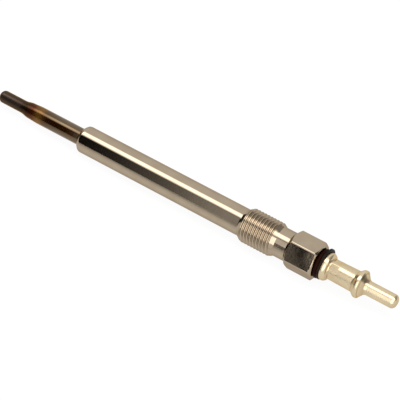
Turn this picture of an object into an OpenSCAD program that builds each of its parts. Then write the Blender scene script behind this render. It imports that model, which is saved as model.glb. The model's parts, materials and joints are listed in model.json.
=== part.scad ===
// Diesel glow plug: a sheathed heater pressed in a threaded steel shell, with a push-on terminal.
// All lengths are in millimetres. The plug lies along X, its tip towards -X and its terminal towards +X.
// The origin is on the axis, where the taper seat meets the shank.

/* [Shell] */
// Diameter of the long plain shank
shank_d = 8; // [7.4:0.1:8.8]
// Length of the shank, from the taper seat to the thread
shank_l = 53.9; // [40:0.1:70]
// Half angle of the taper seat, in degrees
seat_angle = 45; // [35:1:60]
// Width of the flat ring between the heater and the taper seat
seat_land = 0.6; // [0.2:0.05:0.8]
// Rounding where the taper seat meets the shank
seat_round = 1.15; // [0.4:0.05:1.3]
// Outside diameter of the thread
thread_d = 10; // [9:0.1:12]
// Length of the thread, with both its chamfers
thread_l = 11.6; // [8:0.1:16]
// Length of the chamfer that leads the thread in
thread_lead = 1.5; // [0.8:0.1:2.6]
// Length of the chamfer where the thread runs out
thread_tail = 1.3; // [0.6:0.1:2]
// Diameter of the neck between the thread and the hexagon
neck_d = 8.5; // [7.6:0.1:8.9]
// Length of the neck
neck_l = 3.6; // [2:0.1:6]
// Hexagon across its flats
hex_af = 10; // [9.5:0.5:13]
// Length of the hexagon
hex_l = 9.1; // [7:0.1:13]
// Half angle of the turned chamfer at the front of the hexagon, in degrees
hex_front_angle = 49; // [40:1:60]
// Half angle of the turned chamfer at the back of the hexagon, in degrees
hex_back_angle = 60; // [40:1:70]
// Roll of the hexagon's lowest flat towards the front, as the plug lies on a table, in degrees
hex_roll = 7; // [0:0.5:30]
// Width of the flat ring outside the seal on the back of the hexagon
hex_back_land = 0.3; // [0.1:0.05:0.5]

/* [Bore] */
// Length of the shell's bore that grips the heater
grip_l = 12; // [6:0.5:20]
// Extra radius of the bore behind the grip
bore_relief = 0.3; // [0.15:0.05:0.5]

/* [Glow tube] */
// Diameter of the heater sheath where it leaves the shell
sheath_d = 5; // [4.6:0.1:5.6]
// Diameter of the swaged tip
tip_d = 3.7; // [3.3:0.1:4.2]
// Wall of the tube
tube_wall = 0.5; // [0.35:0.05:0.6]
// Thickness of the closed end of the tip
tip_wall = 0.9; // [0.5:0.05:1.4]
// Rounding of the tip's end
tip_round = 1.3; // [0.8:0.05:1.5]
// Length of the narrow tip
tip_l = 7.75; // [6:0.05:12]
// Length of the swaged shoulder behind the tip
swage_l = 3.5; // [2.5:0.1:6]
// Diameter of the sheath at the back of the shoulder
shoulder_d = 4.64; // [4.4:0.02:4.9]
// Length over which the sheath widens from there to its full diameter
shoulder_l = 2.75; // [1.5:0.05:5]
// Length of the full sheath outside the shell
sheath_l = 15.1; // [12:0.1:20]
// Length of the tube inside the shell, past the grip
tube_tail = 2; // [1:0.1:4]

/* [Coils] */
// Diameter of the heating coil's wire
heating_wire_d = 0.36; // [0.25:0.01:0.45]
// Pitch of the heating coil
heating_pitch = 0.8; // [0.65:0.05:1.2]
// Straight end of the heating coil that is welded to the tip
weld_lead = 0.5; // [0.3:0.05:1]
// Diameter of the regulating coil's wire
regulating_wire_d = 0.42; // [0.3:0.01:0.5]
// Pitch of the regulating coil
regulating_pitch = 1.1; // [0.8:0.05:1.5]
// Turns of the regulating coil that are wound on the stud's nose
nose_turns = 2.5; // [1.5:0.5:4]
// Room between one turn and the next on the stud's nose
nose_turn_gap = 0.1; // [0.05:0.01:0.2]
// Powder between the coils and the wall of the tube
coil_cover = 0.35; // [0.25:0.05:0.45]
// Room round the wire in the packed powder
wire_clearance = 0.02; // [0.01:0.01:0.04]

/* [Stud] */
// Diameter of the connection stud
stud_d = 3; // [2.7:0.1:3.3]
// Distance from the shell's front end to the stud's shoulder, inside the tube
stud_reach = 2; // [0.5:0.1:4]
// Room between the nose of the stud and the turns round it
nose_clearance = 0.06; // [0.05:0.01:0.1]

/* [Seals] */
// Length of the seal in the open end of the tube
tube_seal_l = 3; // [2:0.1:5]
// Thickness of the seal's lip on the end of the tube
tube_seal_lip = 0.6; // [0.3:0.05:1]
// Step from the tube's outside in to the edge of that lip
tube_seal_inset = 0.1; // [0.05:0.05:0.2]
// Diameter of the rubber ring behind the hexagon
seal_d = 8.6; // [8:0.1:9]
// Thickness of the rubber ring
seal_t = 1.3; // [0.8:0.05:1.6]
// Wall of the rubber sleeve between the stud and the shell
seal_wall = 1.8; // [1.6:0.05:1.9]
// Length of the rubber sleeve inside the shell
seal_depth = 4; // [2:0.1:6]
// Diameter of the insulating washer
washer_d = 9; // [8.2:0.1:9.6]
// Thickness of the insulating washer
washer_t = 0.6; // [0.4:0.05:1.2]
// Room between the stud and the washer's hole, on each side
washer_clearance = 0.45; // [0.4:0.05:0.7]
// Distance that the washer sits off the axis
washer_shift = 0.35; // [0:0.05:0.4]
// Direction of that shift, up from +Y, in degrees
washer_shift_angle = 38; // [0:1:360]

/* [Terminal] */
// Diameter of the flange
flange_d = 8; // [7.4:0.1:8.8]
// Thickness of the flange
flange_t = 1.65; // [1.2:0.05:2]
// Rounding of the flange's back edge
flange_round = 1.05; // [0.4:0.05:1.1]
// Diameter of the sleeve at the flange
sleeve_d = 5.85; // [5.2:0.05:6]
// Diameter of the sleeve at the collar
sleeve_end_d = 6.15; // [5.6:0.05:6.6]
// Length of the sleeve
sleeve_l = 7.75; // [6:0.05:10]
// Number of flats that the crimping tool leaves round the sleeve
crimp_flats = 6; // [4:1:8]
// Depth of the crimp flats next to the flange
crimp_depth = 0.15; // [0.05:0.01:0.3]
// Length over which the crimp flats fade out
crimp_l = 2.4; // [1.5:0.1:4]
// Plain ring between the flange and the crimp flats
crimp_gap = 0.4; // [0.1:0.05:1]
// Diameter of the snap collar
collar_d = 8; // [7:0.1:9]
// Half angle of the collar's front, in degrees
collar_front_angle = 39; // [30:1:60]
// Half angle of the collar's back, in degrees
collar_back_angle = 47; // [35:1:60]
// Length of the collar's plain edge
collar_land = 0.5; // [0.3:0.05:1.5]
// Diameter of the contact pin
pin_d = 4; // [3.4:0.1:4.6]
// Length of the contact pin
pin_l = 9.2; // [7:0.1:12]
// Rounding of the pin's end
pin_round = 1.25; // [0.3:0.05:1.5]
// Depth of the terminal's socket for the stud
socket_l = 8; // [6:0.1:10]
// Room behind the stud in the socket
socket_clearance = 0.2; // [0.1:0.05:0.5]

/* [Hidden] */
$fn = 96;

// A cut runs this far past the face that it opens
overcut = 1;

// Radii
shank_r = shank_d / 2;
thread_r = thread_d / 2;
neck_r = neck_d / 2;
sheath_r = sheath_d / 2;
tip_r = tip_d / 2;
shoulder_r = shoulder_d / 2;
stud_r = stud_d / 2;
seal_r = seal_d / 2;
flange_r = flange_d / 2;
sleeve_r = sleeve_d / 2;
sleeve_end_r = sleeve_end_d / 2;
collar_r = collar_d / 2;
pin_r = pin_d / 2;
seat_nose_r = sheath_r + seat_land;
hex_corner_r = hex_af / 2 / cos(30);
hex_back_r = seal_r + hex_back_land;
bore_r = sheath_r + bore_relief;
tube_bore_r = sheath_r - tube_wall;
seal_sleeve_r = stud_r + seal_wall;

// Places along the axis, from the tip to the terminal
seat_l = (shank_r - seat_nose_r) / tan(seat_angle);
nose_x = -seat_l;
widening_end_x = nose_x - sheath_l;
swage_end_x = widening_end_x - shoulder_l;
swage_x = swage_end_x - swage_l;
tip_x = swage_x - tip_l;
tip_floor_x = tip_x + tip_wall;
stud_shoulder_x = nose_x - stud_reach;
grip_end_x = nose_x + grip_l;
tube_end_x = grip_end_x + tube_tail;
tube_seal_x = tube_end_x - tube_seal_l;
thread_x = shank_l;
neck_x = thread_x + thread_l;
hex_x = neck_x + neck_l;
hex_end_x = hex_x + hex_l;
washer_x = hex_end_x + seal_t;
flange_x = washer_x + washer_t;
sleeve_x = flange_x + flange_t;
collar_x = sleeve_x + sleeve_l;
collar_land_x = collar_x + (collar_r - sleeve_end_r) / tan(collar_front_angle);
collar_back_x = collar_land_x + collar_land;
pin_x = collar_back_x + (collar_r - pin_r) / tan(collar_back_angle);
pin_end_x = pin_x + pin_l;
stud_end_x = flange_x + socket_l - socket_clearance;

// The swaged shoulder is two equal arcs that meet at its middle with this slope
swage_step = shoulder_r - tip_r;
swage_bend_r = (swage_l * swage_l + swage_step * swage_step) / (4 * swage_step);
swage_slope = asin(swage_l / 2 / swage_bend_r);
swage_middle_x = swage_x + swage_l / 2;

// From its corner, the seat's rounding runs this far along the cone and along the shank
seat_round_reach = seat_round * tan(seat_angle / 2);

// The winding: radius of the wire's middle in the tip, in the sheath and on the stud's nose
tip_coil_r = tip_r - tube_wall - coil_cover - heating_wire_d / 2;
sheath_coil_r = tube_bore_r - coil_cover - regulating_wire_d / 2;
nose_coil_r = stud_r - nose_clearance - regulating_wire_d / 2;
stud_nose_r = nose_coil_r - regulating_wire_d / 2 - nose_clearance;

// The winding's places along the axis: it spreads from the weld, widens in the swage, and gathers at the nose
winding_x = tip_floor_x + weld_lead;
nose_pitch = regulating_wire_d + nose_turn_gap;
nose_winding_l = nose_turns * nose_pitch;
nose_winding_x = stud_shoulder_x - nose_winding_l - regulating_wire_d;
stud_nose_x = nose_winding_x - regulating_wire_d;
gather_x = nose_winding_x - regulating_pitch;
heating_turns = (swage_x - winding_x) / heating_pitch;
regulating_turns = (nose_winding_x - swage_x) / regulating_pitch;
all_turns = heating_turns + regulating_turns + nose_turns;

// Facets of the wire: sides of its section and steps in one turn
wire_sides = 6;
turn_steps = 12;

// Smooth step from 0 to 1
function ease(u) = let (v = min(max(u, 0), 1)) v * v * (3 - 2 * v);

// Radius of the winding at a place along the axis
function winding_r(x) =
    tip_coil_r * ease((x - winding_x) / heating_pitch)
    + (sheath_coil_r - tip_coil_r) * ease((x - swage_x) / (swage_l + shoulder_l))
    + (nose_coil_r - sheath_coil_r) * ease((x - gather_x) / regulating_pitch);

// Place along the axis after a number of turns
function winding_at(turn) =
    turn < heating_turns ? winding_x + turn * heating_pitch
    : turn < heating_turns + regulating_turns ? swage_x + (turn - heating_turns) * regulating_pitch
    : nose_winding_x + (turn - heating_turns - regulating_turns) * nose_pitch;

// Middle of the wire after a number of turns, with the axis along Z
function wire_point(turn) =
    let (x = winding_at(turn), r = winding_r(x))
    [r * cos(360 * turn), r * sin(360 * turn), x];

function unit(v) = v / norm(v);

// One ring of the wire's surface, square to the winding
function wire_ring(turn, wire_r) =
    let (step = 0.5 / turn_steps,
         along = unit(wire_point(turn + step) - wire_point(turn - step)),
         outward = [cos(360 * turn), sin(360 * turn), 0],
         across = unit(outward - (outward * along) * along),
         beside = cross(along, across))
    [for (side = [0 : wire_sides - 1])
        let (angle = 360 * side / wire_sides)
        wire_point(turn) + wire_r * (cos(angle) * across + sin(angle) * beside)];

// A flat ring on the axis, where the heating coil starts
function weld_ring(x, wire_r) =
    [for (side = [0 : wire_sides - 1])
        let (angle = 360 * side / wire_sides)
        [wire_r * cos(angle), wire_r * sin(angle), x]];

// The turns at which the wire has a ring
function ring_turns(first, last) =
    let (count = ceil((last - first) * turn_steps))
    [for (i = [0 : count]) first + (last - first) * i / count];

// A closed wire through a list of rings
module wire(rings) {
    last = len(rings) - 1;
    points = [for (ring = rings, point = ring) point];
    sides = [for (i = [0 : last - 1], side = [0 : wire_sides - 1])
        let (next = (side + 1) % wire_sides,
             a = i * wire_sides + side,
             b = i * wire_sides + next)
        each [[a, a + wire_sides, b + wire_sides], [a, b + wire_sides, b]]];
    front = [for (side = [0 : wire_sides - 1]) side];
    back = [for (side = [wire_sides - 1 : -1 : 0]) last * wire_sides + side];
    polyhedron(points, concat([front, back], sides));
}

// The turns at which each coil has a ring
heating_ring_turns = ring_turns(0, heating_turns);
regulating_ring_turns = ring_turns(heating_turns, all_turns);

// The heating coil's rings, from a place on the axis to its joint with the regulating coil
function heating_rings(start_x, wire_r) =
    concat([weld_ring(start_x, wire_r)],
           [for (turn = heating_ring_turns) wire_ring(turn, wire_r)]);

// The regulating coil's rings, from that joint to its end on the stud's nose
function regulating_rings(wire_r) = [for (turn = regulating_ring_turns) wire_ring(turn, wire_r)];

// The room that both coils leave in the packed powder, in one sweep
module winding_tunnel() {
    heating = heating_rings(tip_floor_x - overcut, heating_wire_d / 2 + wire_clearance);
    before_joint = [for (i = [0 : len(heating) - 2]) heating[i]];
    wire(concat(before_joint, regulating_rings(regulating_wire_d / 2 + wire_clearance)));
}

// Lays a shape that stands along Z down along the X axis
module lay() {
    rotate([0, 90, 0]) children();
}

// A cylinder on the axis, from one place to another
module bar(r, from_x, to_x) {
    translate([0, 0, from_x]) cylinder(r = r, h = to_x - from_x);
}

// A quarter of a disc, on the side of larger radius and larger place along the axis
module quarter_round(r) {
    intersection() {
        circle(r = r);
        square(r);
    }
}

// Half outline of the turned shell in front of the hexagon, radius first
module shell_outline() {
    polygon([
        [0, nose_x],
        [seat_nose_r, nose_x],
        [shank_r - seat_round_reach * sin(seat_angle), -seat_round_reach * cos(seat_angle)],
        [shank_r, seat_round_reach],
        [shank_r, thread_x],
        [thread_r, thread_x + thread_lead],
        [thread_r, neck_x - thread_tail],
        [neck_r, neck_x],
        [neck_r, hex_x + hex_l / 2],
        [0, hex_x + hex_l / 2]
    ]);
    translate([shank_r - seat_round, seat_round_reach]) circle(r = seat_round);
}

// Hexagon with a turned chamfer at each end
module hexagon() {
    translate([0, 0, hex_x]) intersection() {
        rotate([0, 0, 30 - hex_roll]) cylinder(r = hex_corner_r, h = hex_l, $fn = 6);
        cylinder(r1 = neck_r, r2 = neck_r + hex_l * tan(hex_front_angle), h = hex_l);
        cylinder(r1 = hex_back_r + hex_l * tan(hex_back_angle), r2 = hex_back_r, h = hex_l);
    }
}

// Half outline of the swaged tube, moved in from the side and from the tip, up to an end
module swaged_outline(side_inset, tip_inset, end_x) {
    front_x = tip_x + tip_inset;
    front_r = tip_r - side_inset;
    corner_r = tip_round - side_inset;
    back_r = sheath_r - side_inset;
    middle_x = swage_middle_x + side_inset * sin(swage_slope);
    polygon([
        [0, front_x],
        [front_r - corner_r, front_x],
        [front_r - corner_r, front_x + corner_r],
        [front_r, front_x + corner_r],
        [front_r, end_x],
        [0, end_x]
    ]);
    translate([front_r - corner_r, front_x + corner_r]) mirror([0, 1]) quarter_round(corner_r);
    difference() {
        translate([0, swage_x]) square([back_r, middle_x - swage_x]);
        translate([tip_r + swage_bend_r, swage_x]) circle(r = swage_bend_r + side_inset);
    }
    intersection() {
        translate([0, middle_x]) square([back_r, swage_end_x - middle_x]);
        translate([shoulder_r - swage_bend_r, swage_end_x]) circle(r = swage_bend_r - side_inset);
    }
    polygon([
        [0, swage_end_x],
        [shoulder_r - side_inset, swage_end_x],
        [back_r, widening_end_x],
        [back_r, end_x],
        [0, end_x]
    ]);
}

// Half outline of the terminal, radius first
module terminal_outline() {
    flange_land_x = sleeve_x - flange_round;
    polygon([
        [0, flange_x],
        [flange_r, flange_x],
        [flange_r, flange_land_x],
        [sleeve_r, flange_land_x],
        [sleeve_r, sleeve_x],
        [sleeve_end_r, collar_x],
        [collar_r, collar_land_x],
        [collar_r, collar_back_x],
        [pin_r, pin_x],
        [pin_r, pin_end_x - pin_round],
        [pin_r - pin_round, pin_end_x - pin_round],
        [pin_r - pin_round, pin_end_x],
        [0, pin_end_x]
    ]);
    translate([flange_r - flange_round, flange_land_x]) quarter_round(flange_round);
    translate([pin_r - pin_round, pin_end_x - pin_round]) quarter_round(pin_round);
}

// The flats that the crimping tool presses round the sleeve, which fade out towards the collar
module crimp() {
    for (flat = [0 : crimp_flats - 1])
        rotate([0, 0, 360 * flat / crimp_flats])
            translate([sleeve_r - crimp_depth, -sleeve_r, sleeve_x + crimp_gap])
                rotate([0, atan(crimp_depth / crimp_l), 0])
                    cube([sleeve_r, 2 * sleeve_r, 2 * crimp_l]);
}

// The stud, with its narrow nose for the regulating coil
module stud() {
    bar(stud_nose_r, stud_nose_x, stud_shoulder_x + overcut);
    bar(stud_r, stud_shoulder_x, stud_end_x);
}

// One turned steel shell: taper seat, shank, thread, neck, hexagon and a stepped bore
module housing() {
    color([0.68, 0.64, 0.58]) lay() difference() {
        union() {
            rotate_extrude() shell_outline();
            hexagon();
        }
        bar(sheath_r, nose_x - overcut, grip_end_x);
        bar(bore_r, grip_end_x, hex_end_x);
        bar(seal_sleeve_r, hex_end_x - seal_depth, hex_end_x + overcut);
    }
}

// Thin heater sheath, closed at the tip and open inside the shell
module glow_tube() {
    color([0.36, 0.30, 0.25]) lay() rotate_extrude() difference() {
        swaged_outline(0, 0, tube_end_x);
        swaged_outline(tube_wall, tip_wall, tube_end_x + overcut);
    }
}

// Coil in the tip, welded to the closed end of the tube
module heating_coil() {
    color([0.55, 0.50, 0.47]) lay() wire(heating_rings(tip_floor_x, heating_wire_d / 2));
}

// Coil behind it, which widens with the tube and ends in close turns on the stud's nose
module regulating_coil() {
    color([0.62, 0.60, 0.56]) lay() wire(regulating_rings(regulating_wire_d / 2));
}

// Packed powder that fills the tube round the coils and the stud
module magnesia_filling() {
    color([0.93, 0.92, 0.88]) lay() difference() {
        rotate_extrude() swaged_outline(tube_wall, tip_wall, tube_seal_x);
        bar(stud_r, nose_winding_x, tube_seal_x + overcut);
        bar(stud_nose_r, stud_nose_x, nose_winding_x + overcut);
        winding_tunnel();
    }
}

// Rod that carries the current from the terminal to the coils
module connection_stud() {
    color([0.60, 0.60, 0.62]) lay() stud();
}

// Rubber plug in the open end of the tube, with a lip on the tube's end
module tube_seal() {
    color([0.20, 0.19, 0.18]) lay() difference() {
        union() {
            bar(tube_bore_r, tube_seal_x, tube_end_x + tube_seal_lip);
            bar(sheath_r - tube_seal_inset, tube_end_x, tube_end_x + tube_seal_lip);
        }
        bar(stud_r, tube_seal_x - overcut, tube_end_x + tube_seal_lip + overcut);
    }
}

// Rubber ring with a rounded edge behind the hexagon, and its sleeve in the mouth of the bore
module body_seal() {
    ring_edge_r = seal_t / 2;
    color([0.06, 0.05, 0.05]) lay() rotate_extrude() {
        translate([stud_r, hex_end_x - seal_depth])
            square([seal_wall, seal_depth + seal_t]);
        translate([stud_r, hex_end_x])
            square([seal_r - ring_edge_r - stud_r, seal_t]);
        translate([seal_r - ring_edge_r, hex_end_x + ring_edge_r])
            circle(r = ring_edge_r);
    }
}

// Thin disc between the rubber ring and the terminal, resting off centre on the stud
module insulating_washer() {
    color([0.11, 0.09, 0.08])
        translate([0, washer_shift * cos(washer_shift_angle), washer_shift * sin(washer_shift_angle)])
            lay() difference() {
                bar(washer_d / 2, washer_x, flange_x);
                bar(stud_r + washer_clearance, washer_x - overcut, flange_x + overcut);
            }
}

// Turned terminal: flange, sleeve crimped on the stud, snap collar and contact pin
module terminal_pin() {
    color([0.88, 0.82, 0.66]) lay() difference() {
        rotate_extrude() terminal_outline();
        bar(stud_r, flange_x - overcut, flange_x + socket_l);
        crimp();
    }
}

housing();
glow_tube();
heating_coil();
regulating_coil();
magnesia_filling();
connection_stud();
tube_seal();
body_seal();
insulating_washer();
terminal_pin();
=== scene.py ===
# %% [markdown]
# # A diesel glow plug on a pale table
#
# A glow plug is a small rod heater that warms a diesel engine's chamber before it starts. A thin alloy tube
# with a heating coil inside sits in a long plated steel shell. The shell carries a taper seat, a thread and
# a hexagon, and at its back a rubber ring and a washer keep the terminal away from the steel.
#
# The solid model gives the sizes and the inner pieces. This lesson rebuilds the five pieces that are seen,
# with their thread, rounded edges and worn finishes, and lights them as on a white table in a studio.

import json
from math import atan, cos, degrees, pi, radians, sin, tan

import bpy
from mathutils import Matrix, Vector


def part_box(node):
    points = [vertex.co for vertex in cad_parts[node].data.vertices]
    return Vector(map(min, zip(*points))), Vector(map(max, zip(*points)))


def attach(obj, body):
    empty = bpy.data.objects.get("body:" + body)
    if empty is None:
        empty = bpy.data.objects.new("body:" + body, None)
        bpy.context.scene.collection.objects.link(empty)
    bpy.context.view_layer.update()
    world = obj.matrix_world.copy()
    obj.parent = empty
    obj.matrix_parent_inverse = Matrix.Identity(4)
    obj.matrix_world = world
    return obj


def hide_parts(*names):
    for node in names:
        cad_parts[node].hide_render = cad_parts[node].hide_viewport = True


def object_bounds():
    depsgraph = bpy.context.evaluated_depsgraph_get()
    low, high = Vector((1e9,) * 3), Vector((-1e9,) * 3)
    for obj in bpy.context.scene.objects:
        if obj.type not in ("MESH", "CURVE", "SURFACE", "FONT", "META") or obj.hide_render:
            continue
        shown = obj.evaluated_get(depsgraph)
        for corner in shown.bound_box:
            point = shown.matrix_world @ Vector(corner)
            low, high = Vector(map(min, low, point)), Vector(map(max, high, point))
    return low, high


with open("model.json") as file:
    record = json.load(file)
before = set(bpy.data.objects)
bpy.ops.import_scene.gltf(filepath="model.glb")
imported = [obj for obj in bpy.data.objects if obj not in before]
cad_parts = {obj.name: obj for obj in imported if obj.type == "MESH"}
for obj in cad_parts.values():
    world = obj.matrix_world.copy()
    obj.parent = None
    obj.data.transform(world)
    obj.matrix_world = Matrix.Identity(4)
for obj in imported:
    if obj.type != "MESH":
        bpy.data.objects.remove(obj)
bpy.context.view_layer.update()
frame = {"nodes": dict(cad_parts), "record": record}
print("solid pieces:", ", ".join(sorted(frame["nodes"])))

# %% [markdown]
# ## Sizes
#
# The plug lies along X, with its tip at the low end. Lengths are written in millimetres, and the mesh is in
# metres. The sizes could be typed in again here. They are read instead: the ends of each piece come from
# its solid, and the straight runs of the shank, the thread and the contact pin from the record's mounts, so
# that the new pieces follow the solids.

# %% Read the sizes
MM = 0.001


def span(node):
    low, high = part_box(node)
    return low.x / MM, high.x / MM


def widest(node):
    low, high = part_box(node)
    return (high.y - low.y) / 2 / MM


def mount_named(name):
    return next(mount for mount in frame["record"]["mounts"] if mount["name"] == name)


def middle_of(name):
    return mount_named(name)["pos_m"][0] / MM


def straight_run(name):
    dims = mount_named(name)["dims"]
    half = dims["length_mm"] / 2
    return middle_of(name) - half, middle_of(name) + half, dims["r_mm"]


nose_x, hex_end = span("housing")
tip_x, tube_end = span("glow_tube")
seal_start, seal_end = span("body_seal")
washer_start, washer_end = span("insulating_washer")
flange_x, pin_end = span("terminal_pin")
shank_start, shank_end, shank_r = straight_run("shank")
crest_start, crest_end, thread_r = straight_run("thread")
pin_start, pin_straight_end, pin_r = straight_run("contact_pin")
sheath_r = widest("glow_tube")
seal_r = widest("body_seal")
washer_r = widest("insulating_washer")
flange_r = widest("terminal_pin")
print("from tip to pin end:", round(pin_end - tip_x, 2), "mm")

# %% [markdown]
# ## Drawing a line point by point
#
# Most pieces start as a line. A tiny plane is merged to one point, the point is moved to the line's start,
# and it is extruded from each place to the next, as by hand with E and the mouse.

# %% Drawing helpers
def only(piece):
    for other in bpy.context.selected_objects:
        other.select_set(False)
    piece.select_set(True)
    bpy.context.view_layer.objects.active = piece


def edit_all(piece):
    only(piece)
    bpy.ops.object.mode_set(mode="EDIT")
    bpy.ops.mesh.select_all(action="SELECT")


def stop_editing():
    bpy.ops.object.mode_set(mode="OBJECT")


def draw(name, points):
    bpy.ops.object.select_all(action="DESELECT")
    bpy.ops.mesh.primitive_plane_add(size=MM, location=(0, 0, 0))
    piece = bpy.context.object
    piece.name = name
    edit_all(piece)
    bpy.ops.mesh.merge(type="CENTER")
    bpy.ops.transform.translate(value=points[0])
    for here, there in zip(points, points[1:]):
        bpy.ops.mesh.extrude_region_move(TRANSFORM_OT_translate={"value": there - here})
    stop_editing()
    return piece


print("a line starts as a plane of", MM, "m, merged to a point")

# %% [markdown]
# ## Turning an outline
#
# Nearly every piece of the plug is turned on a lathe. Cylinders and cones could be stacked, but then each
# edge would have to be joined and rounded by itself. Here half of the outline is drawn in the XZ plane, its
# corners are softened a little, as tools and plating leave them, and it is spun round the X axis. A point
# is written as x, radius and, where the corner is softened, the size of that.

# %% Lathe helpers
STEPS = 160
MERGE = 0.0005
SAME_PLACE = 0.001
CORNER_SEGMENTS = 4


def place(point):
    return Vector((point[0] * MM, 0, point[1] * MM))


def soften(piece, outline):
    for size in sorted({point[2] for point in outline if len(point) > 2}):
        corners = [place(point) for point in outline if len(point) > 2 and point[2] == size]
        only(piece)
        for vertex in piece.data.vertices:
            vertex.select = any((vertex.co - corner).length < SAME_PLACE * MM for corner in corners)
        for edge in piece.data.edges:
            edge.select = False
        bpy.ops.object.mode_set(mode="EDIT")
        bpy.ops.mesh.bevel(
            affect="VERTICES", offset_type="OFFSET", offset=size * MM, segments=CORNER_SEGMENTS
        )
        stop_editing()


def turn(name, outline):
    piece = draw(name, [place(point) for point in outline])
    soften(piece, outline)
    edit_all(piece)
    bpy.ops.mesh.remove_doubles(threshold=MERGE * MM)
    bpy.ops.mesh.select_all(action="SELECT")
    bpy.ops.mesh.spin(steps=STEPS, angle=2 * pi, center=(0, 0, 0), axis=(1, 0, 0))
    bpy.ops.mesh.select_all(action="SELECT")
    bpy.ops.mesh.remove_doubles(threshold=MERGE * MM)
    bpy.ops.mesh.normals_make_consistent(inside=False)
    stop_editing()
    return piece


def arc(x, r, radius, start, end, parts=8):
    angles = [radians(start + (end - start) * i / parts) for i in range(parts + 1)]
    return [(x + radius * cos(a), r + radius * sin(a)) for a in angles]


print("a full turn takes", STEPS, "steps")

# %% [markdown]
# ## The shell
#
# The shell is one piece of steel, so its blank is turned in one go, from the nose to the hexagon: a flat
# nose ring, a 45 degree taper seat with a rounded corner, the long shank, the thread's cylinder with its
# two chamfers, and the neck.

# %% Turn the shell's blank
NOSE_R = 3.1
NOSE_EDGE = 0.12
SEAT_ROUND = 1.15
SEAT_SIDE = 135
SHANK_EDGE = 0.15
THREAD_EDGE = 0.2
THREAD_TAIL = 1.3
NECK_R = 4.25
BLANK_SHORT = 1

neck_start = crest_end + THREAD_TAIL
shell = turn("shell", [
    (nose_x, 0),
    (nose_x, NOSE_R, NOSE_EDGE),
    *arc(shank_start, shank_r - SEAT_ROUND, SEAT_ROUND, SEAT_SIDE, 90, 6),
    (shank_end, shank_r, SHANK_EDGE),
    (crest_start, thread_r, THREAD_EDGE),
    (crest_end, thread_r, THREAD_EDGE),
    (neck_start, NECK_R, THREAD_EDGE),
    (hex_end - BLANK_SHORT, NECK_R),
    (hex_end - BLANK_SHORT, 0),
])
print("blank", len(shell.data.polygons), "faces")

# %% [markdown]
# The hexagon starts as a six-sided bar. Its long corners are rounded a little. Plain bevels at its ends
# would leave six flat facets, so a turned double cone trims them instead, which leaves the curved chamfers
# of a machined hexagon.

# %% Make the hexagon's bar
HEX_FLATS = 10
HEX_ROLL = 7
HEX_ROUND = 0.35
LONG_EDGE = 1

hex_middle = middle_of("hexagon")
hex_start = 2 * hex_middle - hex_end
hex_corner = HEX_FLATS / 2 / cos(radians(30))

bpy.ops.object.select_all(action="DESELECT")
bpy.ops.mesh.primitive_cylinder_add(vertices=6, radius=hex_corner * MM, depth=(hex_end - hex_start) * MM)
hexagon = bpy.context.object
edit_all(hexagon)
bpy.ops.transform.rotate(value=radians(90), orient_axis="Y", center_override=(0, 0, 0))
bpy.ops.transform.translate(value=(hex_middle * MM, 0, 0))
bpy.ops.transform.rotate(value=radians(HEX_ROLL), orient_axis="X", center_override=(0, 0, 0))
stop_editing()

for vertex in hexagon.data.vertices:
    vertex.select = False
for face in hexagon.data.polygons:
    face.select = False
for edge in hexagon.data.edges:
    start, end = [hexagon.data.vertices[i].co for i in edge.vertices]
    edge.select = abs(start.x - end.x) > LONG_EDGE * MM
bpy.ops.object.mode_set(mode="EDIT")
bpy.ops.mesh.bevel(affect="EDGES", offset=HEX_ROUND * MM, segments=3)
stop_editing()
print("bar of", HEX_FLATS, "mm across its flats,", len(hexagon.data.polygons), "faces")

# %% Trim the hexagon and join it on
HEX_FRONT = 49
HEX_BACK = 60
HEX_BACK_RIM = 4.6
HEX_EDGE = 0.08
HEX_EDGE_ANGLE = 25
TRIM_ROOM = 1


def combine(piece, tool, operation):
    only(piece)
    modifier = piece.modifiers.new("combine", "BOOLEAN")
    modifier.operation = operation
    modifier.object = tool
    modifier.solver = "EXACT"
    bpy.ops.object.modifier_apply(modifier=modifier.name)
    bpy.data.objects.remove(tool)


reach = hex_corner + TRIM_ROOM
trim = turn("trim", [
    (hex_start, 0),
    (hex_start, NECK_R),
    (hex_start + (reach - NECK_R) / tan(radians(HEX_FRONT)), reach),
    (hex_end - (reach - HEX_BACK_RIM) / tan(radians(HEX_BACK)), reach),
    (hex_end, HEX_BACK_RIM),
    (hex_end, 0),
])
combine(hexagon, trim, "INTERSECT")
only(hexagon)
rounding = hexagon.modifiers.new("rounding", "BEVEL")
rounding.width = HEX_EDGE * MM
rounding.segments = 2
rounding.limit_method = "ANGLE"
rounding.angle_limit = radians(HEX_EDGE_ANGLE)
bpy.ops.object.modifier_apply(modifier=rounding.name)
combine(shell, hexagon, "UNION")
print("with hexagon", len(shell.data.polygons), "faces")

# %% [markdown]
# The thread is a fine 1 mm one. Rings or a bump would look right from afar, but only a helix runs out on
# both chamfers as a real thread does. So a groove section with a rounded root and rounded crests is wound
# along the axis with the Screw modifier and cut out of the blank. The section starts a hair above the
# crest, so that its edge doesn't lie in the blank's own surface.

# %% Cut the thread
PITCH = 1.0
GROOVE_HALF = 0.48
GROOVE_DEPTH = 0.44
GROOVE_POINTS = 8
GROOVE_LIFT = 0.012
GROOVE_TOP = 0.2
GROOVE_LEAD = 0.9
GROOVE_STEPS = 90

wave = [i / GROOVE_POINTS for i in range(-GROOVE_POINTS, GROOVE_POINTS + 1)]
depths = [GROOVE_DEPTH * (1 + cos(pi * i)) / 2 for i in wave]
bottom = [(GROOVE_HALF * i, thread_r + GROOVE_LIFT - depth) for i, depth in zip(wave, depths)]
section = [(-GROOVE_HALF, thread_r + GROOVE_TOP), *bottom, (GROOVE_HALF, thread_r + GROOVE_TOP)]
groove_start = shank_end - GROOVE_LEAD
turns = int((neck_start - groove_start) / PITCH) + 2

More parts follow.
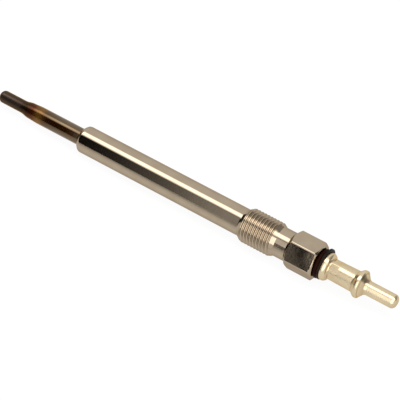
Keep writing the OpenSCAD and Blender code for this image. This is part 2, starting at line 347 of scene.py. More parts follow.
groove = draw("groove", [place((groove_start + x, r)) for x, r in section])
edit_all(groove)
bpy.ops.mesh.edge_face_add()
bpy.ops.mesh.delete(type="ONLY_FACE")
stop_editing()
screw = groove.modifiers.new("winding", "SCREW")
screw.axis = "X"
screw.angle = 2 * pi
screw.screw_offset = PITCH * MM
screw.iterations = turns
screw.steps = GROOVE_STEPS
screw.render_steps = GROOVE_STEPS
bpy.ops.object.modifier_apply(modifier=screw.name)
edit_all(groove)
bpy.ops.mesh.fill_holes(sides=0)
bpy.ops.mesh.select_all(action="SELECT")
bpy.ops.mesh.normals_make_consistent(inside=False)
stop_editing()
print("groove", len(groove.data.polygons), "faces in", turns, "turns")
combine(shell, groove, "DIFFERENCE")
print("with thread", len(shell.data.polygons), "faces")

# %% [markdown]
# The bore grips the heater tube at the nose, is wider behind it, and has a pocket for the rubber at the
# back. A small chamfer at its mouth leaves the fine dark line round the tube. The bore is turned as a plug
# and cut out last. The cuts leave slivers, which are then merged and dissolved, and the shading is smoothed
# by angle.

# %% Cut the bore
GRIP = 12
RELIEF = 0.3
MOUTH = 0.2
MOUTH_DEPTH = 0.25
SLEEVE_R = 3.3
SLIP = 0.01
PAST_END = 1

grip_end = nose_x + GRIP
bore = turn("bore", [
    (nose_x - PAST_END, 0),
    (nose_x - PAST_END, sheath_r + MOUTH),
    (nose_x, sheath_r + MOUTH),
    (nose_x + MOUTH_DEPTH, sheath_r + SLIP),
    (grip_end, sheath_r + SLIP),
    (grip_end, sheath_r + RELIEF),
    (seal_start, sheath_r + RELIEF),
    (seal_start, SLEEVE_R + SLIP),
    (hex_end + PAST_END, SLEEVE_R + SLIP),
    (hex_end + PAST_END, 0),
])
combine(shell, bore, "DIFFERENCE")
print("with bore", len(shell.data.polygons), "faces")

# %% Clean the shell and hand it over
SLIVER = 0.002
FLAT_ENOUGH = 1.2
SHELL_SMOOTH = 32


def clean_up(piece):
    edit_all(piece)
    bpy.ops.mesh.remove_doubles(threshold=SLIVER * MM)
    bpy.ops.mesh.select_all(action="SELECT")
    bpy.ops.mesh.dissolve_degenerate(threshold=SLIVER * MM)
    bpy.ops.mesh.select_all(action="SELECT")
    bpy.ops.mesh.dissolve_limited(angle_limit=radians(FLAT_ENOUGH))
    stop_editing()


def smooth(piece, angle):
    only(piece)
    bpy.ops.object.shade_smooth_by_angle(angle=radians(angle))
    modifier = piece.modifiers.new("true normals", "WEIGHTED_NORMAL")
    modifier.keep_sharp = True
    bpy.ops.object.modifier_apply(modifier=modifier.name)


def hand_over(piece, node):
    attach(piece, "root")
    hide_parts(node)
    print(piece.name, len(piece.data.polygons), "faces for", node)


clean_up(shell)
smooth(shell, SHELL_SMOOTH)
hand_over(shell, "housing")

# %% [markdown]
# ## The heater tube
#
# The real tube is swaged, which means hammered down from all sides, towards its closed tip. That leaves an
# S-shaped neck and then a slight widening to the sheath. The neck could be a smoothed cone, but two equal
# arcs meet without a kink. The tube is hollow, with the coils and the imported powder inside.

# %% Turn the heater tube
TIP_R = 1.85
TIP_ROUND = 1.3
TIP_L = 7.75
SWAGE_L = 3.5
SHOULDER_R = 2.32
SHOULDER_L = 2.75
SHOULDER_SOFT = 0.4
TAIL_EDGE = 0.1
WALL = 0.48
TIP_WALL = 0.88
TIP_WALL_SIDE = 1.4
TURNED_SMOOTH = 40

swage_start = tip_x + TIP_L
swage_end = swage_start + SWAGE_L
shoulder_end = swage_end + SHOULDER_L
rise = SHOULDER_R - TIP_R
bend = (rise * rise + SWAGE_L * SWAGE_L) / (4 * rise)
lean = degrees(2 * atan(rise / SWAGE_L))
tube = turn("heater_tube", [
    (tip_x, 0),
    *arc(tip_x + TIP_ROUND, TIP_R - TIP_ROUND, TIP_ROUND, 180, 90),
    *arc(swage_start, TIP_R + bend, bend, 270, 270 + lean),
    *arc(swage_end, SHOULDER_R - bend, bend, 90 + lean, 90),
    (shoulder_end, sheath_r, SHOULDER_SOFT),
    (tube_end, sheath_r, TAIL_EDGE),
    (tube_end, sheath_r - WALL),
    (shoulder_end, sheath_r - WALL),
    (swage_end, SHOULDER_R - WALL),
    (swage_start, TIP_R - WALL),
    (tip_x + TIP_WALL_SIDE, TIP_R - WALL),
    (tip_x + TIP_WALL, TIP_R - TIP_ROUND),
    (tip_x + TIP_WALL, 0),
])
smooth(tube, TURNED_SMOOTH)
hand_over(tube, "glow_tube")

# %% [markdown]
# ## The rubber ring and the washer
#
# The rubber is one moulding: a fat ring squeezed behind the hexagon, and a sleeve that reaches into the
# shell. A torus and a tube would be two pieces, so one outline with a half circle is turned.

# %% Turn the rubber ring
STUD_R = 1.5
SLEEVE_EDGE = 0.2
RING_PARTS = 16

ring_round = (seal_end - hex_end) / 2
ring = turn("rubber_ring", [
    (seal_start, STUD_R),
    (seal_start, SLEEVE_R, SLEEVE_EDGE),
    (hex_end, SLEEVE_R),
    *arc(hex_end + ring_round, seal_r - ring_round, ring_round, 180, 0, RING_PARTS),
    (seal_end, STUD_R),
    (seal_start, STUD_R),
])
smooth(ring, TURNED_SMOOTH)
hand_over(ring, "body_seal")

# %% [markdown]
# The thin washer behind the ring has some play on the stud and sits a little off centre. It is turned on
# the axis like the others and then moved aside in edit mode, so that the object itself stays at the origin.

# %% Turn the washer
WASHER_PLAY = 0.45
WASHER_EDGE = 0.12

washer_hole = STUD_R + WASHER_PLAY
washer = turn("washer", [
    (washer_start, washer_hole),
    (washer_start, washer_r, WASHER_EDGE),
    (washer_end, washer_r, WASHER_EDGE),
    (washer_end, washer_hole),
    (washer_start, washer_hole),
])
washer_low, washer_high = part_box("insulating_washer")
shift = (washer_low + washer_high) / 2
edit_all(washer)
bpy.ops.transform.translate(value=(0, shift.y, shift.z))
stop_editing()
smooth(washer, TURNED_SMOOTH)
hand_over(washer, "insulating_washer")

# %% [markdown]
# ## The terminal
#
# One turned piece: a flange with a rounded back, a sleeve over the stud, a snap collar and the contact pin
# with a blunt round end. It is hollow where the stud sits in it.

# %% Turn the terminal
FLANGE_LAND = 0.6
FLANGE_ROUND = 1.05
FLANGE_EDGE = 0.15
FLANGE_ARC_END = 30
SLEEVE_FRONT_R = 2.925
SLEEVE_BACK_R = 3.075
SLEEVE_L = 7.75
SLEEVE_FILLET = 0.3
COLLAR_R = 4.0
COLLAR_FRONT = 39
COLLAR_LAND = 0.8
COLLAR_FOOT = 0.15
COLLAR_FRONT_EDGE = 0.2
COLLAR_BACK_EDGE = 0.06
PIN_FILLET = 0.6
SOCKET_L = 8

sleeve_x = flange_x + FLANGE_LAND + FLANGE_ROUND
collar_x = sleeve_x + SLEEVE_L
collar_top = collar_x + (COLLAR_R - SLEEVE_BACK_R) / tan(radians(COLLAR_FRONT))
collar_edge = collar_top + COLLAR_LAND
pin_round = pin_end - pin_straight_end
socket_r = STUD_R + SLIP
terminal = turn("terminal", [
    (flange_x, socket_r),
    (flange_x, flange_r, FLANGE_EDGE),
    *arc(flange_x + FLANGE_LAND, flange_r - FLANGE_ROUND, FLANGE_ROUND, 90, FLANGE_ARC_END),
    (sleeve_x, SLEEVE_FRONT_R, SLEEVE_FILLET),
    (collar_x, SLEEVE_BACK_R, COLLAR_FOOT),
    (collar_top, COLLAR_R, COLLAR_FRONT_EDGE),
    (collar_edge, COLLAR_R, COLLAR_BACK_EDGE),
    (pin_start, pin_r, PIN_FILLET),
    *arc(pin_straight_end, pin_r - pin_round, pin_round, 90, 0),
    (pin_end, 0),
    (flange_x + SOCKET_L, 0),
    (flange_x + SOCKET_L, socket_r),
    (flange_x, socket_r),
])
print("terminal blank", len(terminal.data.polygons), "faces")

# %% [markdown]
# Six shallow flats behind the flange show where the sleeve was crimped on the stud. One block is set to its
# depth in the sleeve, copied round the axis and cut out, just as the jaws of the crimping tool press it.

# %% Press the crimp flats
CRIMP_FLATS = 6
CRIMP_L = 2.4
CRIMP_W = 2.2
CRIMP_DEPTH = 0.2
CRIMP_GAP = 0.4
CRIMP_ROLL = 33
JAW_H = SLEEVE_FRONT_R
TERMINAL_SMOOTH = 30

jaw_middle_x = sleeve_x + CRIMP_GAP + CRIMP_L / 2
jaw_middle_z = SLEEVE_FRONT_R - CRIMP_DEPTH + JAW_H / 2
bpy.ops.object.select_all(action="DESELECT")
bpy.ops.mesh.primitive_cube_add(size=MM)
jaws = bpy.context.object
edit_all(jaws)
bpy.ops.transform.resize(value=(CRIMP_L, CRIMP_W, JAW_H), center_override=(0, 0, 0))
bpy.ops.transform.translate(value=(jaw_middle_x * MM, 0, jaw_middle_z * MM))
bpy.ops.transform.rotate(value=radians(-CRIMP_ROLL), orient_axis="X", center_override=(0, 0, 0))
for flat in range(CRIMP_FLATS - 1):
    bpy.ops.mesh.duplicate()
    bpy.ops.transform.rotate(value=2 * pi / CRIMP_FLATS, orient_axis="X", center_override=(0, 0, 0))
stop_editing()
combine(terminal, jaws, "DIFFERENCE")
smooth(terminal, TERMINAL_SMOOTH)
hand_over(terminal, "terminal_pin")

# %% [markdown]
# ## Finishes
#
# Two small shader groups are shared by the finishes. One gives a soft unevenness, as of stained or rolled
# metal. The other gives fine rings round the axis, as a lathe leaves them. Pictures could be laid on the
# pieces instead, but noise needs no seams. Both groups read the object's own coordinates, in metres.

# %% Shader groups
EVEN_LOW = 0.3
EVEN_HIGH = 0.7


def new_group(name, sockets, output):
    tree = bpy.data.node_groups.new(name, "ShaderNodeTree")
    for socket, value in sockets:
        entry = tree.interface.new_socket(socket, in_out="INPUT", socket_type="NodeSocketFloat")
        entry.default_value = value
    tree.interface.new_socket(output, in_out="OUTPUT", socket_type="NodeSocketFloat")
    return tree, tree.nodes.new("NodeGroupInput"), tree.nodes.new("NodeGroupOutput")


uneven, uneven_in, uneven_out = new_group("uneven", [("Scale", 300), ("Detail", 3)], "Value")
coords = uneven.nodes.new("ShaderNodeTexCoord")
noise = uneven.nodes.new("ShaderNodeTexNoise")
spread = uneven.nodes.new("ShaderNodeMapRange")
spread.inputs["From Min"].default_value = EVEN_LOW
spread.inputs["From Max"].default_value = EVEN_HIGH
uneven.links.new(coords.outputs["Object"], noise.inputs["Vector"])
uneven.links.new(uneven_in.outputs["Scale"], noise.inputs["Scale"])
uneven.links.new(uneven_in.outputs["Detail"], noise.inputs["Detail"])
uneven.links.new(noise.outputs["Fac"], spread.inputs["Value"])
uneven.links.new(spread.outputs["Result"], uneven_out.inputs["Value"])

rings, rings_in, rings_out = new_group("lathe_rings", [("Density", 9000)], "Height")
coords = rings.nodes.new("ShaderNodeTexCoord")
split = rings.nodes.new("ShaderNodeSeparateXYZ")
stretch = rings.nodes.new("ShaderNodeMath")
stretch.operation = "MULTIPLY"
lines = rings.nodes.new("ShaderNodeTexNoise")
lines.noise_dimensions = "1D"
lines.inputs["Scale"].default_value = 1
lines.inputs["Detail"].default_value = 2
rings.links.new(coords.outputs["Object"], split.inputs["Vector"])
rings.links.new(split.outputs["X"], stretch.inputs[0])
rings.links.new(rings_in.outputs["Density"], stretch.inputs[1])
rings.links.new(stretch.outputs["Value"], lines.inputs["W"])
rings.links.new(lines.outputs["Fac"], rings_out.inputs["Height"])
print("shader groups:", uneven.name, rings.name)

# %% [markdown]
# Small helpers build each finish: a group placed in a material, a value that varies between two limits, a
# mix of two colours, a bump, a sum, and the place on an axis.

# %% Material helpers
def new_finish(name):
    material = bpy.data.materials.new(name)
    material.use_nodes = True
    return material, material.node_tree.nodes["Principled BSDF"]


def connect(material, value, socket):
    material.node_tree.links.new(value, socket)


def use(material, tree, **values):
    node = material.node_tree.nodes.new("ShaderNodeGroup")
    node.node_tree = tree
    for name, value in values.items():
        node.inputs[name].default_value = value
    return node.outputs[0]


def between(material, value, low, high):
    node = material.node_tree.nodes.new("ShaderNodeMapRange")
    node.inputs["To Min"].default_value = low
    node.inputs["To Max"].default_value = high
    connect(material, value, node.inputs["Value"])
    return node.outputs["Result"]


def blend(material, value, first, second):
    node = material.node_tree.nodes.new("ShaderNodeMix")
    node.data_type = "RGBA"
    connect(material, value, node.inputs["Factor"])
    for socket, colour in ((node.inputs["A"], first), (node.inputs["B"], second)):
        if isinstance(colour, tuple):
            socket.default_value = (*colour, 1)
        else:
            connect(material, colour, socket)
    return node.outputs["Result"]


def bump(material, shader, height, strength, depth):
    node = material.node_tree.nodes.new("ShaderNodeBump")
    node.inputs["Strength"].default_value = strength
    node.inputs["Distance"].default_value = depth * MM
    connect(material, height, node.inputs["Height"])
    connect(material, node.outputs["Normal"], shader.inputs["Normal"])


def calculate(material, operation, *values):
    node = material.node_tree.nodes.new("ShaderNodeMath")
    node.operation = operation
    for socket, value in zip(node.inputs, values):
        if isinstance(value, (int, float)):
            socket.default_value = value
        else:
            connect(material, value, socket)
    return node.outputs["Value"]


def object_place(material):
    return material.node_tree.nodes.new("ShaderNodeTexCoord").outputs["Object"]


def on_axis(material, axis):
    split = material.node_tree.nodes.new("ShaderNodeSeparateXYZ")
    connect(material, object_place(material), split.inputs["Vector"])
    return split.outputs[axis]


def paint(piece, material):
    piece.data.materials.clear()
    piece.data.materials.append(material)
    print(piece.name, "is painted with", material.name)


# %% [markdown]
# Several finishes change along an axis. A profile takes stops, each a place in millimetres with a colour or
# a grey level, and lays a colour ramp over them. A ramp keeps its first and last colours beyond its ends.

# %% Profiles along an axis
def share_of_way(material, value, start, end):
    node = material.node_tree.nodes.new("ShaderNodeMapRange")
    node.inputs["From Min"].default_value = start * MM
    node.inputs["From Max"].default_value = end * MM
    connect(material, value, node.inputs["Value"])
    return node.outputs["Result"]


def set_stops(color_ramp, stops):
    first, *middle, last = stops
    elements = color_ramp.elements
    for element, (position, colour) in zip((elements[0], elements[-1]), (first, last)):
        element.position = position
        element.color = (*colour, 1)
    for position, colour in middle:
        elements.new(position).color = (*colour, 1)


def profile(material, value, stops):
    start, end = stops[0][0], stops[-1][0]
    colours = [colour if isinstance(colour, tuple) else (colour,) * 3 for spot, colour in stops]
    shares = [(spot - start) / (end - start) for spot, colour in stops]
    node = material.node_tree.nodes.new("ShaderNodeValToRGB")
    set_stops(node.color_ramp, list(zip(shares, colours)))
    connect(material, share_of_way(material, value, start, end), node.inputs["Fac"])
    return node.outputs["Color"]


# %% [markdown]
# The shell is nickel plated steel, warm and bright like a mirror that has been handled for years. The
# rolled thread is duller than the ground shank, and its roots get a little painted shade. A mask along
# the axis and another by the distance from the axis find the roots, so that nothing has to be painted
# by hand.

# %% Plated steel
ROLL_LEAD = 0.3
ROLL_TAIL = 0.2
ROLL_FADE = 1.2
CREST_DEPTH = 0.15
ROOT_DEPTH = 0.55
THREAD_ROUGHNESS = 0.17
PLATE = (0.425, 0.348, 0.255)
PLATE_STAINED = (0.385, 0.31, 0.224)
# Colour of the painted shade in the thread's roots
ROOT_SHADE_COLOUR = (0.37, 0.295, 0.21)

plated, shader = new_finish("plated_steel")
rolled = [
    (shank_end, 0),
    (crest_start - ROLL_LEAD, 1),
    (crest_end + ROLL_TAIL, 1),
    (crest_end + ROLL_FADE, 0),
]
on_thread = profile(plated, on_axis(plated, "X"), rolled)
across = plated.node_tree.nodes.new("ShaderNodeVectorMath")
across.operation = "MULTIPLY"
across.inputs[1].default_value = (0, 1, 1)
from_axis = plated.node_tree.nodes.new("ShaderNodeVectorMath")
from_axis.operation = "LENGTH"
connect(plated, object_place(plated), across.inputs[0])
connect(plated, across.outputs["Vector"], from_axis.inputs[0])
deep = share_of_way(plated, from_axis.outputs["Value"], thread_r - CREST_DEPTH, thread_r - ROOT_DEPTH)
in_roots = calculate(plated, "MULTIPLY", on_thread, deep)

stain = use(plated, uneven, Scale=260, Detail=4)
plate = blend(plated, stain, PLATE, PLATE_STAINED)
# The thread's roots get painted shade, more of it deeper in the groove
connect(plated, blend(plated, in_roots, plate, ROOT_SHADE_COLOUR), shader.inputs["Base Color"])
gloss = between(plated, stain, 0.04, 0.08)
connect(plated, blend(plated, on_thread, gloss, (THREAD_ROUGHNESS,) * 3), shader.inputs["Roughness"])
shader.inputs["Metallic"].default_value = 1
shader.inputs["Specular Tint"].default_value = (0.6, 0.55, 0.5, 1)
bump(plated, shader, use(plated, uneven, Scale=1800, Detail=2), 0.06, 0.02)
paint(shell, plated)

# %% [markdown]
# The heater tube has been hot. Its tip is dull charcoal, the swaged neck carries the bands of heat tint,
# dark red and then olive gold, and the sheath is a dark brown. The tint is a thin clear oxide film, so a
# plain tinted metal would be too colourful at its edges. Here the tube is mostly bare metal at the tip and
# mostly a dark body under a strong, warm gloss on the sheath. The bands waver a little round the tube.

# %% Heat-tinted tube
# Each row has the distance from the tip in mm, the colour, the share of bare metal and the roughness
TINTS = [
    (0.0, (0.050, 0.035, 0.029), 0.9, 0.34),
    (7.4, (0.035, 0.023, 0.018), 0.9, 0.34),
    (9.1, (0.012, 0.0055, 0.003), 0.85, 0.3),
    (11.1, (0.030, 0.0042, 0.0008), 0.8, 0.26),
    (12.5, (0.052, 0.0065, 0.001), 0.75, 0.22),
    (13.8, (0.095, 0.038, 0.006), 0.65, 0.18),
    (14.9, (0.120, 0.055, 0.009), 0.6, 0.15),
    (16.4, (0.052, 0.019, 0.004), 0.5, 0.12),
    (17.8, (0.016, 0.0045, 0.001), 0.35, 0.09),
    (20.4, (0.010, 0.0028, 0.0005), 0.15, 0.07),
    (23.9, (0.011, 0.0035, 0.001), 0.0, 0.06),
    (26.4, (0.022, 0.010, 0.004), 0.1, 0.06),
    (28.4, (0.050, 0.032, 0.019), 0.3, 0.06),
]
WAVER = 1.2

tinted, shader = new_finish("heat_tinted_alloy")
swing = use(tinted, uneven, Scale=220, Detail=2)
swung = calculate(tinted, "MULTIPLY_ADD", swing, WAVER * MM, on_axis(tinted, "X"))
wavering_x = calculate(tinted, "SUBTRACT", swung, WAVER / 2 * MM)
colours = [(tip_x + far, colour) for far, colour, metal, dull in TINTS]
metals = [(tip_x + far, metal) for far, colour, metal, dull in TINTS]
dulls = [(tip_x + far, dull) for far, colour, metal, dull in TINTS]
connect(tinted, profile(tinted, wavering_x, colours), shader.inputs["Base Color"])
connect(tinted, profile(tinted, wavering_x, metals), shader.inputs["Metallic"])
connect(tinted, profile(tinted, wavering_x, dulls), shader.inputs["Roughness"])
shader.inputs["IOR"].default_value = 2.3
shader.inputs["Specular IOR Level"].default_value = 0.4
shader.inputs["Specular Tint"].default_value = (1.0, 0.72, 0.42, 1)
bump(tinted, shader, use(tinted, uneven, Scale=1500, Detail=3), 0.15, 0.02)
paint(tube, tinted)

# %% [markdown]
# The rubber is a matt brown black with hardly any shine, and the washer a black-brown plastic. Plain
# colours would do, but a little unevenness in the roughness and in the surface keeps them from looking
# painted.

# %% Rubber and washer
WASHER_DARK = (0.004, 0.002, 0.001)
WASHER_BROWN = (0.012, 0.006, 0.003)

rubber, shader = new_finish("seal_rubber")
shader.inputs["Base Color"].default_value = (0.012, 0.003, 0.0015, 1)
shader.inputs["Specular IOR Level"].default_value = 0.02
bloom = use(rubber, uneven, Scale=900, Detail=3)
connect(rubber, between(rubber, bloom, 0.34, 0.5), shader.inputs["Roughness"])
bump(rubber, shader, use(rubber, uneven, Scale=1600, Detail=3), 0.2, 0.03)
paint(ring, rubber)

insulator, shader = new_finish("insulator")
speckle = use(insulator, uneven, Scale=900, Detail=3)
connect(insulator, blend(insulator, speckle, WASHER_DARK, WASHER_BROWN), shader.inputs["Base Color"])
shader.inputs["Specular IOR Level"].default_value = 0.08
shader.inputs["Roughness"].default_value = 0.5
paint(washer, insulator)

# %% [markdown]
# The terminal is pale champagne-coloured plating on brass with fine lathe rings. Brown painted shade
# darkens its inner corners: behind the flange, in front of the collar, on the collar's back and round the
# pin's foot. It lies in rings, so a profile along the axis places it.

# %% Terminal
CHAMPAGNE = (0.66, 0.547, 0.365)
CHAMPAGNE_STAINED = (0.59, 0.482, 0.317)
# Brown of the painted shade in the inner corners
CORNER_SHADE_BROWN = (0.38, 0.25, 0.11)
# Each row has a place along the axis and the share of painted shade there
CORNER_SHADE_SHARES = [
    (flange_x, 0.0),
    (sleeve_x - 0.2, 0.0),
    (sleeve_x + 0.15, 0.45),
    (sleeve_x + 0.7, 0.15),
    (collar_x - 0.3, 0.0),
    (collar_x + 0.05, 0.35),
    (collar_x + 0.4, 0.0),
    (collar_edge + 0.18, 0.0),
    (collar_edge + 0.34, 0.8),
    (collar_edge + 0.52, 0.12),
    (pin_start - 0.25, 0.4),
    (pin_start + 0.9, 0.0),
]

champagne, shader = new_finish("terminal_metal")
stain = use(champagne, uneven, Scale=300, Detail=1)
bright = blend(champagne, stain, CHAMPAGNE, CHAMPAGNE_STAINED)
# Painted shade in the inner corners, laid in rings along the axis
corner_shade = profile(champagne, on_axis(champagne, "X"), CORNER_SHADE_SHARES)
connect(champagne, blend(champagne, corner_shade, bright, CORNER_SHADE_BROWN), shader.inputs["Base Color"])
connect(champagne, between(champagne, stain, 0.22, 0.3), shader.inputs["Roughness"])
shader.inputs["Metallic"].default_value = 1
shader.inputs["Specular Tint"].default_value = (0.82, 0.7, 0.52, 1)
bump(champagne, shader, use(champagne, rings, Density=4000), 0.04, 0.02)
paint(terminal, champagne)

# %% [markdown]
# The pieces inside keep their solids, because nobody sees them in the whole plug. They get plain finishes
# for the day when it is taken apart: drawn wire, packed powder, steel rod and rubber.

# %% Inner pieces
POWDER = (0.86, 0.84, 0.79)
POWDER_DULL = (0.74, 0.72, 0.67)

wire, shader = new_finish("coil_wire")
shader.inputs["Base Color"].default_value = (0.32, 0.29, 0.26, 1)
shader.inputs["Metallic"].default_value = 1
drawn = use(wire, uneven, Scale=700, Detail=2)
connect(wire, between(wire, drawn, 0.25, 0.4), shader.inputs["Roughness"])

powder, shader = new_finish("packed_powder")
grain = use(powder, uneven, Scale=2500, Detail=3)
connect(powder, blend(powder, grain, POWDER, POWDER_DULL), shader.inputs["Base Color"])
shader.inputs["Roughness"].default_value = 0.9

rod, shader = new_finish("plain_steel")
shader.inputs["Base Color"].default_value = (0.36, 0.36, 0.38, 1)
shader.inputs["Metallic"].default_value = 1
drawn = use(rod, uneven, Scale=500, Detail=2)
connect(rod, between(rod, drawn, 0.22, 0.36), shader.inputs["Roughness"])

inside = {
    "heating_coil": wire,
    "regulating_coil": wire,
    "magnesia_filling": powder,
    "connection_stud": rod,
    "tube_seal": rubber,
}
for node, material in inside.items():
    paint(frame["nodes"][node], material)

# %% [markdown]
# ## Table and light
#
# The plug lies on a white table. It rests on a corner of its hexagon and on the front edge of its shank, so
# the table leans by about one degree against the plug's axis. Turning the plug would move it away from its
# solids, so the table is drawn at that slope instead.

# %% Table
TABLE_HALF = 3000
HEX_REST = 0.6

hex_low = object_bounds()[0].z / MM
slope = (-shank_r - hex_low) / (hex_start + HEX_REST - shank_start)


def flat_sheet(name, corners, lift):
    heights = [lift - shank_r - slope * (x - shank_start) for x, y in corners]
    piece = draw(name, [Vector((x, y, z)) * MM for (x, y), z in zip(corners, heights)])
    edit_all(piece)
    bpy.ops.mesh.edge_face_add()
    stop_editing()
    return piece


table_corners = [
    (-TABLE_HALF, -TABLE_HALF),
    (TABLE_HALF, -TABLE_HALF),
    (TABLE_HALF, TABLE_HALF),
    (-TABLE_HALF, TABLE_HALF),
]
table = flat_sheet("table", table_corners, 0)
print("table leans", round(slope, 4))

# %% [markdown]
# The table shows as plain white with a faint shadow, to the camera and in the metal alike. More light on
# the table would also wash out the plug. So the paper glows white for the rays that look at it, and a small
# share of its lit surface is mixed in, which carries the shadow.

# %% Paper
WHITE_SHARE = 0.92

paper, shader = new_finish("paper")
shader.inputs["Base Color"].default_value = (0.8, 0.8, 0.8, 1)
shader.inputs["Roughness"].default_value = 1
shader.inputs["Specular IOR Level"].default_value = 0
nodes = paper.node_tree.nodes
rays = nodes.new("ShaderNodeLightPath").outputs
white = nodes.new("ShaderNodeEmission")
white.inputs["Strength"].default_value = 1
mixed = nodes.new("ShaderNodeMixShader")
seen = calculate(paper, "MAXIMUM", rays["Is Camera Ray"], rays["Is Glossy Ray"])
seen_through = calculate(paper, "MAXIMUM", seen, rays["Is Transmission Ray"])
connect(paper, calculate(paper, "MULTIPLY", seen_through, WHITE_SHARE), mixed.inputs["Fac"])
connect(paper, shader.outputs["BSDF"], mixed.inputs[1])
connect(paper, white.outputs["Emission"], mixed.inputs[2])
connect(paper, mixed.outputs["Shader"], nodes["Material Output"].inputs["Surface"])
paint(table, paper)

# %% [markdown]
# The room is plain white, and polished metal shows whatever stands round it. So large sheets stand far
# round the plug, as in a studio, and the camera doesn't see them. Each bent sheet is a line along X, spun
# round the plug's axis, and each has a grey profile along one axis.
#
# The softbox overhead gives the bright stripe. The black flag in front of the tip's side gives the dark
# stripe, and the front light beside it keeps the thread and the terminal bright. Both are split in an upper
# and a lower part, because their border is not at the same place for the neck as for the shank. A grey
# screen beyond the terminal shades the faces that look that way.

# %% Bent sheets
SHEET_R = 1500
SHEET_STEPS = 24
SOFTBOX_HALF = 2500
SOFTBOX_FRONT = 67
SOFTBOX_BACK = 109
SOFTBOX_LIGHT = 3.5
SOFTBOX_ACROSS = [(-580, 0.0), (-190, 1.0), (250, 1.0), (470, 0.28)]
FLAG_FAR = -9000
FLAG_FOOT = 2
FLAG_ALONG = [
    (-760, 0.0),
    (-690, 0.02),
    (-666, 0.045),
    (-596, 0.17),
    (-528, 0.48),
    (-446, 0.4),
    (-440, 0.01),
    (-394, 0.01),
]
SPLIT = 27
BORDER_ABOVE = -466
BORDER_BELOW = -394
FRONT_FAR = 2000
FRONT_TOP = 60
FRONT_FOOT = 6
FRONT_LIGHT = 3.0
FRONT_ALONG = [(-466, 0.3), (-450, 0.4), (-280, 0.45), (-240, 1.0), (2000, 1.0)]
SCREEN_NEAR = 250
SCREEN_FAR = 6000
SCREEN_TOP = 112
SCREEN_FOOT = 178
SCREEN_ALONG = [(250, 0.42), (1200, 0.36), (2500, 0.12), (6000, 0.1)]


def sheet(name, start_x, end_x, start, end):
    angle = radians(start)
    edge = Vector((0, -SHEET_R * cos(angle), SHEET_R * sin(angle)))
    piece = draw(name, [(edge + Vector((x, 0, 0))) * MM for x in (start_x, end_x)])
    edit_all(piece)
    bpy.ops.mesh.spin(steps=SHEET_STEPS, angle=radians(end - start), center=(0, 0, 0), axis=(1, 0, 0))
    stop_editing()
    piece.visible_camera = False
    return piece


def glow(piece, axis, stops, strength):
    material, shader = new_finish(piece.name)
    shader.inputs["Base Color"].default_value = (0, 0, 0, 1)
    shader.inputs["Specular IOR Level"].default_value = 0
    shader.inputs["Emission Strength"].default_value = strength
    connect(material, profile(material, on_axis(material, axis), stops), shader.inputs["Emission Color"])
    paint(piece, material)


softbox = sheet("softbox", -SOFTBOX_HALF, SOFTBOX_HALF, SOFTBOX_FRONT, SOFTBOX_BACK)
glow(softbox, "Y", SOFTBOX_ACROSS, SOFTBOX_LIGHT)
glow(sheet("flag_above", FLAG_FAR, BORDER_ABOVE, SPLIT, SOFTBOX_FRONT), "X", FLAG_ALONG, 1)
glow(sheet("flag_below", FLAG_FAR, BORDER_BELOW, FLAG_FOOT, SPLIT), "X", FLAG_ALONG, 1)
glow(sheet("front_above", BORDER_ABOVE, FRONT_FAR, SPLIT, FRONT_TOP), "X", FRONT_ALONG, FRONT_LIGHT)
glow(sheet("front_below", BORDER_BELOW, FRONT_FAR, FRONT_FOOT, SPLIT), "X", FRONT_ALONG, FRONT_LIGHT)
glow(sheet("screen", SCREEN_NEAR, SCREEN_FAR, SCREEN_TOP, SCREEN_FOOT), "X", SCREEN_ALONG, 1)

# %% [markdown]
# Two flat cards complete the studio. A dark disc beyond the tip darkens the chamfers and cones that face
# that way. A card just over the table, in front of the plug, carries a painted shade of the table that
# grows darker away from the plug, so that the dark stripe fades softly at its lower edge. It is there for
# reflections alone, and casts no shadow.

# %% Flat cards
END_CARD_R = 1400
END_CARD_X = -2500
END_CARD_SIDES = 32
END_CARD_LEVEL = 0.03
FOOT = [(74, -10), (-400, -1490), (-2500, -1490), (-2500, -10)]
FOOT_ACROSS = [(-1490, 0.0), (-300, 0.3), (-90, 0.5), (-38, 0.72), (-15, 0.92), (-10, 0.98)]
FOOT_LIFT = 0.4

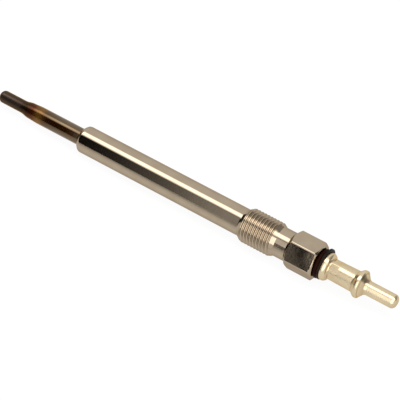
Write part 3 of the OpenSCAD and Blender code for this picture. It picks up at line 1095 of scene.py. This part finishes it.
bpy.ops.object.select_all(action="DESELECT")
bpy.ops.mesh.primitive_circle_add(vertices=END_CARD_SIDES, radius=END_CARD_R * MM, fill_type="NGON")
end_card = bpy.context.object
end_card.name = "end_card"
edit_all(end_card)
bpy.ops.transform.rotate(value=radians(90), orient_axis="Y", center_override=(0, 0, 0))
bpy.ops.transform.translate(value=(END_CARD_X * MM, 0, 0))
stop_editing()
end_card.visible_camera = False
glow(end_card, "Y", [(-END_CARD_R, END_CARD_LEVEL), (END_CARD_R, END_CARD_LEVEL)], 1)

# This card is painted shade of the table, seen only in reflections
foot = flat_sheet("foot", FOOT, FOOT_LIFT)
foot.visible_camera = False
foot.visible_shadow = False
foot.visible_diffuse = False
glow(foot, "Y", FOOT_ACROSS, 1)

# %% [markdown]
# The white room itself is the world's background, at a strength of 1, so that a colour renders about as it
# is written.

# %% Room
world = bpy.data.worlds.new("white_room")
bpy.context.scene.world = world
world.use_nodes = True
room = world.node_tree.nodes["Background"]
room.inputs["Color"].default_value = (1, 1, 1, 1)
room.inputs["Strength"].default_value = 1
bpy.context.scene.view_settings.view_transform = "Standard"
print("room:", world.name)

# %% [markdown]
# ## Camera
#
# The camera stands well back on the terminal's side and looks down at the plug with a long lens, which
# keeps its two ends nearly the same size. The whole stand is then turned a little about the plug's axis, so
# that the hexagon's flats face as they should.

# %% Camera
AZIMUTH = 34.707
ELEVATION = 49.458
DISTANCE = 546
ALONG = 39.277
BELOW = 0.134
TURN = 2.7
LENS = 179.22
SENSOR = 36
NEAREST = 0.01
FARTHEST = 20

azimuth = radians(AZIMUTH)
elevation = radians(ELEVATION)
back = Vector((sin(azimuth) * cos(elevation), -cos(azimuth) * cos(elevation), sin(elevation)))
right = Vector((cos(azimuth), sin(azimuth), 0))
up = back.cross(right)
aim = Vector((ALONG, 0, 0)) - up * BELOW
stand = Matrix((right, up, back)).transposed().to_4x4()
stand.translation = (aim + back * DISTANCE) * MM
view = bpy.data.cameras.new("camera")
view.lens = LENS
view.sensor_width = SENSOR
view.clip_start = NEAREST
view.clip_end = FARTHEST
camera = bpy.data.objects.new("camera", view)
bpy.context.scene.collection.objects.link(camera)
camera.matrix_world = Matrix.Rotation(radians(TURN), 4, "X") @ stand
bpy.context.scene.camera = camera
print("camera at", [round(c, 3) for c in camera.matrix_world.translation])
